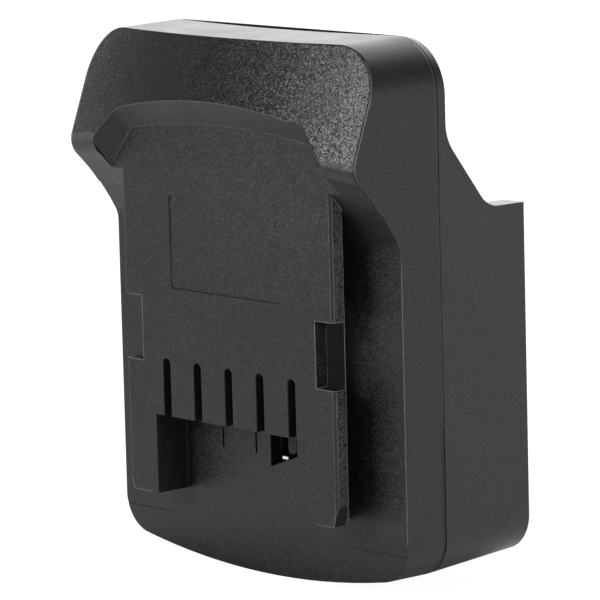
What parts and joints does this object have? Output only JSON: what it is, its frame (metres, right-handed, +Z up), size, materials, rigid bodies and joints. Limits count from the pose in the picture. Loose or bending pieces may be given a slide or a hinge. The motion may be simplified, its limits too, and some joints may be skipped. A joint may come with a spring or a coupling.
{
  "type": "tool battery adapter",
  "caption": "Black two-shell adapter with undercut slide rails and contact slots for a cordless tool in front and a sliding receiver with blades for a donor battery behind.",
  "frame": {"origin": "in the seam plane of the two shells, at the lowest point of the arched foot", "axes": "+X to the right seen from the tool side, +Y toward the battery side, +Z up toward the head"},
  "size_m": [0.076, 0.0403, 0.0964],
  "materials": {
    "casing_front": "charcoal ABS with a fine spark-eroded grain",
    "casing_rear": "charcoal ABS, satin",
    "carrier": "dark glass-filled nylon",
    "block": "dark glass-filled nylon",
    "contact_metal": "tinned spring bronze",
    "blade_metal": "tinned brass sheet",
    "board": "green solder mask",
    "resistor": "black chip body",
    "lead_red": "red insulation",
    "lead_black": "black insulation",
    "lead_yellow": "yellow insulation",
    "screw_steel": "zinc-plated"
  },
  "bodies": {
    "root": {"front_shell": "casing_front", "rear_shell": "casing_rear", "contact_carrier": "carrier", "contact_positive": "contact_metal", "contact_signal_left": "contact_metal", "contact_signal_middle": "contact_metal", "contact_signal_right": "contact_metal", "contact_negative": "contact_metal", "contact_board": "board", "board_resistors": "resistor", "blade_block": "block", "blade_positive": "blade_metal", "blade_negative": "blade_metal", "blade_signal": "blade_metal", "lead_positive": "lead_red", "lead_negative": "lead_black", "lead_signal": "lead_yellow", "case_screws": "screw_steel", "carrier_screws": "screw_steel", "block_screws": "screw_steel"}
  },
  "joints": []
}
